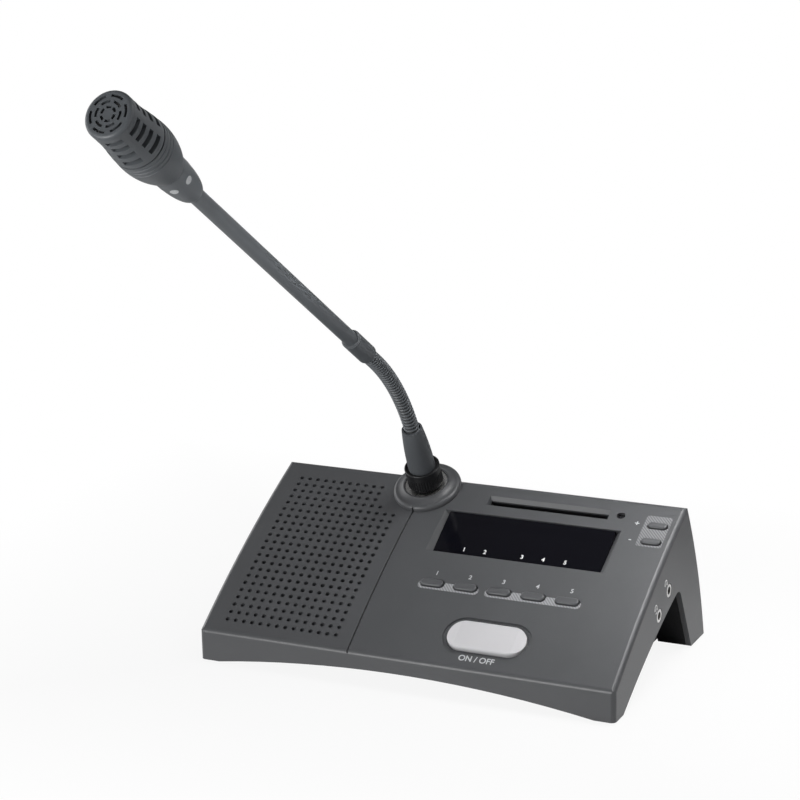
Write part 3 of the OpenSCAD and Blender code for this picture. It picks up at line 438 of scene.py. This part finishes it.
def printed(name, mesh, place, look, step=0.0):
    """Lays a flat mesh as ink on the console: place(x, y, w) gives the point."""
    bm = bmesh.new()
    bm.from_mesh(mesh)
    bmesh.ops.remove_doubles(bm, verts=bm.verts[:], dist=WELD)
    if step:
        cut_rows(bm, step)
    for v in bm.verts:
        v.co = place(v.co.x, v.co.y, v.co.z + INK / 2)
    bmesh.ops.recalc_face_normals(bm, faces=bm.faces[:])
    bm.to_mesh(mesh)
    bm.free()
    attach(piece(name, mesh, look), "console")


# keys, as in the part's source: middle, pitch, length and width
KEY_X = 0.2
KEY_S = 42.4
KEY_PITCH = 16.15
KEY_L = 11.0
KEY_W = 3.8
KEY_COUNT = 5
STEP_X = 90.65
STEP_S = 82.3
STEP_PITCH = 10.0
STEP_L = 9.0
STEP_W = 3.3
KEY_GAP = 0.4

# printed bands under the channel keys
BAND_W = 4.3
BAND_S = KEY_S - 1.15
BAND_MORE = 2.2
BAND_STEP = 0.15
BAND_INSIDE = 0.9999


def pill_half(x, mid, length, width):
    """Half the height of a pill shape at x, below zero outside it."""
    r = width / 2
    past = abs(x - mid) - (length / 2 - r)
    if past <= 0:
        return r
    return math.sqrt(r * r - past * past) if past < r else -1.0


def band_outline(first, last):
    """A pill that ends below the keys, so that their wells notch its upper edge."""
    mid = KEY_X + KEY_PITCH * (first + last) / 2
    length = KEY_PITCH * (last - first) + KEY_L + BAND_MORE
    count = int(length / BAND_STEP)
    low = []
    high = []
    for i in range(count + 1):
        x = mid + (i / count - 0.5) * length * BAND_INSIDE
        h = pill_half(x, mid, length, BAND_W)
        top = BAND_S + h
        for k in range(first, last + 1):
            well = pill_half(x, KEY_X + k * KEY_PITCH, KEY_L + 2 * KEY_GAP, KEY_W + 2 * KEY_GAP)
            if well >= 0:
                top = min(top, KEY_S - well)
        low.append((x, BAND_S - h))
        high.append((x, top))
    return low + high[::-1]


# each band's first and last key
BANDS = (("key_band_left", 0, 1), ("key_band_right", 2, 4))
for name, first, last in BANDS:
    printed(name, loops_mesh([band_outline(first, last)]), panel_point, strip_ink)

# printed plate round the step keys
PLATE_X = 90.05
PLATE_S = 88.95
PLATE_L = 12.0
PLATE_W = 19.3
PLATE_R = 1.3
PLATE_CORNER_STEPS = 6
PLATE_ROW = 1.5
loops = [round_loop(PLATE_X, PLATE_S, PLATE_L, PLATE_W, PLATE_R, PLATE_CORNER_STEPS)]
for k in (0, 1):
    loops.append(pill_loop(STEP_X, STEP_S + k * STEP_PITCH, STEP_L + 2 * KEY_GAP, STEP_W + 2 * KEY_GAP))
printed("step_plate", loops_mesh(loops), panel_point, hatch, PLATE_ROW)

# numbers above the channel keys, signs at the step keys, the mark of the microphone key
NUMBER_X = KEY_X + 0.2
NUMBER_S = KEY_S + 6.0
NUMBER_SIZE = 3.2
SIGN_X = 80.8
SIGN_S = STEP_S + 0.4
SIGN_SIZE = 4.2
MARK_X = 34.7
MARK_S = 5.4
MARK_SIZE = 4.0
numbers = [(str(k + 1), NUMBER_X + k * KEY_PITCH, NUMBER_S) for k in range(KEY_COUNT)]
printed("key_numbers", text_mesh(numbers, NUMBER_SIZE), panel_point, ink)
signs = [("+", SIGN_X, SIGN_S + STEP_PITCH), ("-", SIGN_X, SIGN_S)]
printed("step_signs", text_mesh(signs, SIGN_SIZE), panel_point, ink)
printed("mic_key_mark", text_mesh([("ON / OFF", MARK_X, MARK_S)], MARK_SIZE), panel_point, ink)

# numbers along the lower edge of the display window, whose face lies deeper at its front
DISP_X = 32.5
DISP_S = 74.0
WINDOW_L = 24.7
WINDOW_FRONT = 2.3
WINDOW_BACK = 0.4
DIGIT_X = (-25.9, -15.7, 2.3, 12.5, 23.0)
DIGIT_Y = -8.4
DIGIT_SIZE = 3.0


def window_point(x, y, w):
    depth = WINDOW_FRONT + (WINDOW_BACK - WINDOW_FRONT) * (y / WINDOW_L + 0.5)
    return flat_point(DISP_X, DISP_S)(x, y, w - depth)


digits = [(str(k + 1), x, DIGIT_Y) for k, x in enumerate(DIGIT_X)]
printed("display_numbers", text_mesh(digits, DIGIT_SIZE), window_point, bright_ink)

# signs beside the sockets: headphones, the second with a microphone on a boom
BOW_R = 1.25
BOW_W = 0.5
CUP_Y = -0.72
CUP_L = 0.85
CUP_W = 1.3
CUP_R = 0.2
CUP_CORNER_STEPS = 2
BOOM_X = 0.1
BOOM_Y = -1.55
BOOM_R = 1.1
BOOM_W = 0.4
BOOM_START = 250
BOOM_END = 340
# each sign's place on the side, in y and z, and whether it has the boom
SOCKET_SIGNS = (("headphone_sign", 4.1, 42.4, False), ("headset_sign", -8.8, 35.1, True))
for name, y0, z0, boom in SOCKET_SIGNS:
    loops = [arc_loop(0, 0, BOW_R, BOW_W, 0, 180)]
    for k in (-1, 1):
        loops.append(round_loop(k * BOW_R, CUP_Y, CUP_L, CUP_W, CUP_R, CUP_CORNER_STEPS))
    if boom:
        loops.append(arc_loop(BOOM_X, BOOM_Y, BOOM_R, BOOM_W, BOOM_START, BOOM_END))
    printed(name, loops_mesh(loops), side_point(y0, z0), bright_ink)

# the ribbed flex, in two halves
SEAT_X = -24.4
SEAT_S = 99.2
FLEX_W = 24.8
FLEX_L = 80.7
FLEX_R = 3.6
FLEX_LEAD = 7.2
FLEX_TAIL = 13.9
BEND = math.radians(30.4)
BEND_R = (FLEX_L - FLEX_LEAD - FLEX_TAIL) / BEND
BORE_R = 2.0
BORE_STEPS = 12
RIBS = 20
RIB_T = 1.0
RIB_STEPS = 8
RIB_SIDES = 40
GROOVE_SHADE_BELOW = 0.35
# the flex is held by the boot up to GRIP, and by the collar over its last HELD
HALF = FLEX_L / 2
GRIP = 9.0
HELD = 5.0
seat_point = flat_point(SEAT_X, SEAT_S)


def flex_at(t):
    """Place on the flex at a length t: (y, z, angle) in the seat's frame."""
    if t < FLEX_LEAD:
        return 0.0, FLEX_W + t, 0.0
    if t < FLEX_L - FLEX_TAIL:
        a = (t - FLEX_LEAD) / BEND_R
        return -BEND_R * (1 - math.cos(a)), FLEX_W + FLEX_LEAD + BEND_R * math.sin(a), a
    k = t - (FLEX_L - FLEX_TAIL)
    y = -BEND_R * (1 - math.cos(BEND)) - k * math.sin(BEND)
    z = FLEX_W + FLEX_LEAD + BEND_R * math.sin(BEND) + k * math.cos(BEND)
    return y, z, BEND


def flex_point(t):
    y, z, _ = flex_at(t)
    return seat_point(0, y, z)


def flex_ring(bm, t, r):
    y, z, a = flex_at(t)
    ring = []
    for k in range(RIB_SIDES):
        c = 2 * math.pi * k / RIB_SIDES
        across = r * math.sin(c)
        point = seat_point(r * math.cos(c), y + across * math.cos(a), z + across * math.sin(a))
        ring.append(bm.verts.new(point))
    return ring


def crest(i):
    """Height of a rib at its step i, from 0 in the groove to 1 at the top."""
    return 0.5 - 0.5 * math.cos(2 * math.pi * i / RIB_STEPS)


def flex_mesh(t0, t1):
    """A tube of rounded ribs between two places on the flex."""
    bm = bmesh.new()
    rings = []
    count = RIBS * RIB_STEPS
    for i in range(count + 1):
        r = FLEX_R - RIB_T + RIB_T * crest(i)
        rings.append(flex_ring(bm, t0 + (t1 - t0) * i / count, r))
    for i in range(BORE_STEPS, -1, -1):
        rings.append(flex_ring(bm, t0 + (t1 - t0) * i / BORE_STEPS, BORE_R))
    for a, b in zip(rings, rings[1:] + rings[:1]):
        for k in range(RIB_SIDES):
            j = (k + 1) % RIB_SIDES
            bm.faces.new((a[k], a[j], b[j], b[k]))
    bmesh.ops.recalc_face_normals(bm, faces=bm.faces[:])
    mesh = mesh_from(bm, "flex")
    mesh.polygons.foreach_set("use_smooth", [True] * len(mesh.polygons))
    return mesh


def flex_tube(name, t0, t1):
    """Half of the flex, with painted shade in the grooves between its ribs and in its bore, and painted
    highlight on the ribs.
    """
    obj = piece(name, flex_mesh(t0, t1), rib_painted_light)
    obj.data.materials.append(groove_painted_shade)
    # painted shade: the grooves and the bore take the dark copy of the lacquer
    for face in obj.data.polygons:
        ring = face.index // RIB_SIDES
        if ring >= RIBS * RIB_STEPS or crest(ring + 0.5) < GROOVE_SHADE_BELOW:
            face.material_index = 1
    return obj


lower = flex_tube("flex_tube_lower", 0, HALF)
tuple(flex_point(GRIP))
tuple(flex_point(HALF))
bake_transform(lower)
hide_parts("flex_lower")
upper = flex_tube("flex_tube_upper", HALF, FLEX_L)
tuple(flex_point(HALF))
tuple(flex_point(FLEX_L - HELD))
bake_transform(upper)
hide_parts("flex_upper")

# floor and world: the camera sees white, and reflections see a part of it
FLOOR_HALF = 6
FLOOR_CELLS = 4
FLOOR_GREY = (0.55, 0.55, 0.55, 1)
FLOOR_ROUGH = 0.9
WORLD_GREY = (0.17, 0.17, 0.173, 1)
WHITE = (1, 1, 1, 1)
# ranges: share of white at the start and at the end, then start and end in metres from the footprint
SEEN_WHITE = (0.90, 1.0, 0.0, 0.2)
MIRROR_FAR = (0.9, 0.10, 0.02, 0.14)
MIRROR_EDGE = (0.0, 1.0, -0.008, 0.004)
# the same in metres behind the origin, and by the height of the way into the sky
MIRROR_BEHIND = (1.0, 0.25, 0.02, 0.14)
MIRROR_SKY = (0.5, 0.0, 0.05, 0.45)


def split_coords(tree, kind):
    n = add(tree, "ShaderNodeSeparateXYZ")
    tree.links.new(add(tree, "ShaderNodeTexCoord").outputs[kind], n.inputs[0])
    return n.outputs


def ray_kinds(tree):
    """Rays that see the background directly, and rays that mirror it."""
    path = add(tree, "ShaderNodeLightPath").outputs
    return calc(tree, "MAXIMUM", path["Is Camera Ray"], path["Is Transmission Ray"]), path["Is Glossy Ray"]


def make_floor():
    """The floor keeps the shadow near the object; reflections see no white under the object."""
    bm = bmesh.new()
    bmesh.ops.create_grid(bm, x_segments=FLOOR_CELLS, y_segments=FLOOR_CELLS, size=FLOOR_HALF)
    m = bpy.data.materials.new("floor_white")
    m.use_nodes = True
    t = m.node_tree
    b = t.nodes["Principled BSDF"]
    b.inputs["Base Color"].default_value = FLOOR_GREY
    b.inputs["Roughness"].default_value = FLOOR_ROUGH
    b.inputs["Specular IOR Level"].default_value = 0.0
    glow = add(t, "ShaderNodeEmission")
    glow.inputs["Strength"].default_value = 1.0
    place = split_coords(t, "Object")
    past_x = calc(t, "SUBTRACT", calc(t, "ABSOLUTE", place["X"]), HALF_W * MM)
    past_y = calc(t, "SUBTRACT", calc(t, "ABSOLUTE", place["Y"]), BASE_DEPTH / 2 * MM)
    off = calc(t, "MAXIMUM", past_x, past_y)
    direct, mirrored = ray_kinds(t)
    direct = calc(t, "MULTIPLY", direct, ranged(t, off, *SEEN_WHITE))
    mirrored = calc(t, "MULTIPLY", mirrored, ranged(t, off, *MIRROR_FAR))
    mirrored = calc(t, "MULTIPLY", mirrored, ranged(t, off, *MIRROR_EDGE))
    mirrored = calc(t, "MULTIPLY", mirrored, ranged(t, place["Y"], *MIRROR_BEHIND))
    end_in_mix(t, "Material Output", calc(t, "MAXIMUM", direct, mirrored), b, glow)
    piece("floor", mesh_from(bm, "floor"), m)


def make_world():
    """Even light."""
    world = bpy.data.worlds.new("studio")
    world.use_nodes = True
    t = world.node_tree
    dim = t.nodes["Background"]
    dim.inputs["Color"].default_value = WORLD_GREY
    white = add(t, "ShaderNodeBackground")
    white.inputs["Color"].default_value = WHITE
    direct, mirrored = ray_kinds(t)
    mirrored = calc(t, "MULTIPLY", mirrored, ranged(t, split_coords(t, "Generated")["Z"], *MIRROR_SKY))
    end_in_mix(t, "World Output", calc(t, "MAXIMUM", direct, mirrored), dim, white)
    scene.world = world


make_floor()
make_world()

# lamps: place, target, size, power in watts, spread in degrees
LAMPS = (
    ("softbox_right", (0.17, 0.05, 0.42), (0.16, 0.03, 0.05), 0.22, 0.35, 62),
    ("softbox_front", (-0.36, -1.05, 0.13), (0.0, -0.05, 0.06), 0.42, 9.0, 180),
    ("softbox_left", (-0.80, 0.05, 0.24), (0.0, 0.0, 0.15), 0.90, 4.5, 180),
    ("softbox_top", (0.45, 0.08, 0.75), (-0.02, -0.03, 0.10), 0.35, 1.7, 180),
    ("softbox_stem", (0.55, -0.24, 0.19), (-0.02, -0.12, 0.215), 0.12, 0.07, 24),
)
for name, place, target, size, power, spread in LAMPS:
    light = bpy.data.lights.new(name, "AREA")
    light.shape = "SQUARE"
    light.size = size
    light.energy = power
    light.spread = math.radians(spread)
    lamp = link_new(name, light)
    lamp.location = place
    way = Vector(place) - Vector(target)
    lamp.rotation_euler = way.to_track_quat("Z", "Y").to_euler()

# the photograph's camera: which way it looks, its small roll, and where the point CAM_AIM lies in its view,
# as lengths to the right, down and ahead in millimetres
CAM_AZ = math.radians(25.6)
CAM_EL = math.radians(15.06)
CAM_ROLL = math.radians(-1.186)
CAM_AIM = Vector((0.75, -BASE_DEPTH / 2, 1.2))
AIM_RIGHT = 0.57
AIM_DOWN = 126.3
AIM_AHEAD = 1070.6
FOCAL_PX = 2449.0
IMAGE_PX = 800.0
SENSOR = 36.0
NEAREST = 0.01
level = Vector((math.cos(CAM_AZ), math.sin(CAM_AZ), 0))
away = Vector((math.sin(CAM_AZ), -math.cos(CAM_AZ), 0))
back_way = away * math.cos(CAM_EL) + Vector((0, 0, math.sin(CAM_EL)))
upright = back_way.cross(level)
right_way = math.cos(CAM_ROLL) * level + math.sin(CAM_ROLL) * upright
up_way = math.cos(CAM_ROLL) * upright - math.sin(CAM_ROLL) * level
spot = CAM_AIM - right_way * AIM_RIGHT + up_way * AIM_DOWN + back_way * AIM_AHEAD
turned = Matrix((right_way, up_way, back_way)).transposed().to_4x4()
camera = link_new("camera", bpy.data.cameras.new("camera"))
camera.data.sensor_width = SENSOR
camera.data.lens = FOCAL_PX / IMAGE_PX * SENSOR
camera.data.clip_start = NEAREST
camera.matrix_world = Matrix.Translation(spot * MM) @ turned
scene.camera = camera
